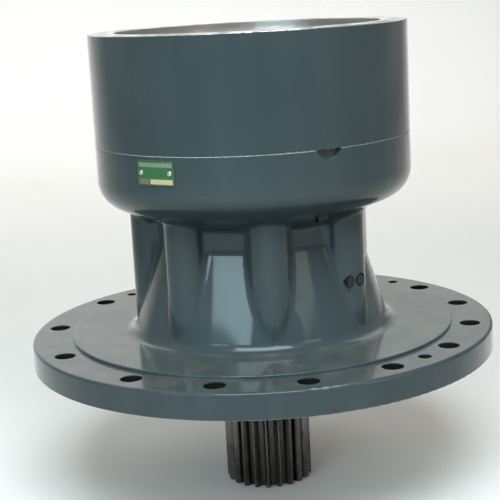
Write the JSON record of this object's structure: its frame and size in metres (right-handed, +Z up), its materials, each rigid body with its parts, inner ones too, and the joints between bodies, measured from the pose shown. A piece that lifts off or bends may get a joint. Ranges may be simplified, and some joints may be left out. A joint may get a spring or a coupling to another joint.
{
  "type": "swing gearbox",
  "caption": "Flanged planetary swing gearbox with a ribbed neck, a drum-shaped ring gear open for the motor on top and a toothed output shaft below the flange.",
  "frame": {"origin": "centre of the flange's mounting face, where its pilot meets it", "axes": "+Z up the main axis to the motor end; the output shaft points along -Z; +X through the single bolt hole on the flange pattern's line of symmetry"},
  "size_m": [0.5, 0.5, 0.498],
  "materials": {
    "body_paint": "gloss",
    "machined_steel": "satin",
    "gear_steel": "oiled satin",
    "pinion_steel": "dark oiled",
    "bearing_steel": "polished",
    "cast_iron": "matt",
    "bronze": "satin",
    "rubber": "matt",
    "fastener_steel": "black oxide",
    "zinc_steel": "zinc plated",
    "plate_enamel": "printed"
  },
  "bodies": {
    "housing": {"casing": "body_paint", "ring_gear": "body_paint", "ring_dowels": "bearing_steel", "ring_screws": "fastener_steel", "ring_seal": "rubber", "lower_bearing_cup": "bearing_steel", "upper_bearing_cup": "bearing_steel", "seal_cover": "body_paint", "cover_bolts": "zinc_steel", "oil_seal": "rubber", "nameplate": "plate_enamel", "nameplate_rivets": "zinc_steel", "pad_screws": "zinc_steel", "level_plug": "bronze", "drain_plug": "zinc_steel"},
    "output_stage": {"pinion_shaft": "pinion_steel", "lower_bearing_cone": "bearing_steel", "upper_bearing_cone": "bearing_steel", "seal_collar": "machined_steel", "lock_washer": "machined_steel", "lock_nut": "machined_steel", "output_carrier": "cast_iron", "output_pins": "bearing_steel", "output_pin_locks": "machined_steel", "output_thrust_washers": "bronze", "retainer_plate": "machined_steel", "retainer_screws": "fastener_steel", "thrust_pad": "bronze"},
    "input_stage": {"input_carrier": "gear_steel", "output_sun": "gear_steel", "sun_retaining_ring": "fastener_steel", "input_pins": "bearing_steel", "input_circlips": "fastener_steel", "input_thrust_washers": "bronze", "sun_thrust_washer": "bronze"},
    "sun_gear": {"input_sun": "gear_steel"},
    "lower_roller_set": {"lower_bearing_rollers": "bearing_steel"},
    "upper_roller_set": {"upper_bearing_rollers": "bearing_steel"},
    "output_gear_1": {"output_planet_1": "gear_steel", "output_bush_1": "bronze"},
    "input_gear_1": {"input_planet_1": "gear_steel", "input_bush_1": "bronze"},
    "output_gear_2": {"output_planet_2": "gear_steel", "output_bush_2": "bronze"},
    "input_gear_2": {"input_planet_2": "gear_steel", "input_bush_2": "bronze"},
    "output_gear_3": {"output_planet_3": "gear_steel", "output_bush_3": "bronze"},
    "input_gear_3": {"input_planet_3": "gear_steel", "input_bush_3": "bronze"}
  },
  "joints": [
    {"name": "output_spin", "type": "hinge", "parent": "housing", "child": "output_stage", "pos_m": [0, 0, 0], "axis": [0, 0, 1], "continuous": true},
    {"name": "input_stage_spin", "type": "hinge", "parent": "housing", "child": "input_stage", "pos_m": [0, 0, 0], "axis": [0, 0, 1], "continuous": true},
    {"name": "sun_spin", "type": "hinge", "parent": "housing", "child": "sun_gear", "pos_m": [0, 0, 0], "axis": [0, 0, 1], "continuous": true},
    {"name": "lower_rollers_spin", "type": "hinge", "parent": "housing", "child": "lower_roller_set", "pos_m": [0, 0, 0], "axis": [0, 0, 1], "continuous": true},
    {"name": "upper_rollers_spin", "type": "hinge", "parent": "housing", "child": "upper_roller_set", "pos_m": [0, 0, 0], "axis": [0, 0, 1], "continuous": true},
    {"name": "output_gear_1_spin", "type": "hinge", "parent": "output_stage", "child": "output_gear_1", "pos_m": [0.045, 0.07794, 0], "axis": [0, 0, 1], "continuous": true},
    {"name": "output_gear_2_spin", "type": "hinge", "parent": "output_stage", "child": "output_gear_2", "pos_m": [-0.09, 0, 0], "axis": [0, 0, 1], "continuous": true},
    {"name": "output_gear_3_spin", "type": "hinge", "parent": "output_stage", "child": "output_gear_3", "pos_m": [0.045, -0.07794, 0], "axis": [0, 0, 1], "continuous": true},
    {"name": "input_gear_1_spin", "type": "hinge", "parent": "input_stage", "child": "input_gear_1", "pos_m": [0.0825, 0, 0], "axis": [0, 0, 1], "continuous": true},
    {"name": "input_gear_2_spin", "type": "hinge", "parent": "input_stage", "child": "input_gear_2", "pos_m": [-0.04125, 0.07145, 0], "axis": [0, 0, 1], "continuous": true},
    {"name": "input_gear_3_spin", "type": "hinge", "parent": "input_stage", "child": "input_gear_3", "pos_m": [-0.04125, -0.07145, 0], "axis": [0, 0, 1], "continuous": true}
  ],
  "couplings": [
    {"joint": "input_stage_spin", "follows": "output_spin", "ratio": 3.4286},
    {"joint": "sun_spin", "follows": "output_spin", "ratio": 15.086},
    {"joint": "lower_rollers_spin", "follows": "output_spin", "ratio": 0.44455},
    {"joint": "upper_rollers_spin", "follows": "output_spin", "ratio": 0.45522},
    {"joint": "output_gear_1_spin", "follows": "output_spin", "ratio": -3.4},
    {"joint": "output_gear_2_spin", "follows": "output_spin", "ratio": -3.4},
    {"joint": "output_gear_3_spin", "follows": "output_spin", "ratio": -3.4},
    {"joint": "input_gear_1_spin", "follows": "output_spin", "ratio": -9.7143},
    {"joint": "input_gear_2_spin", "follows": "output_spin", "ratio": -9.7143},
    {"joint": "input_gear_3_spin", "follows": "output_spin", "ratio": -9.7143}
  ]
}
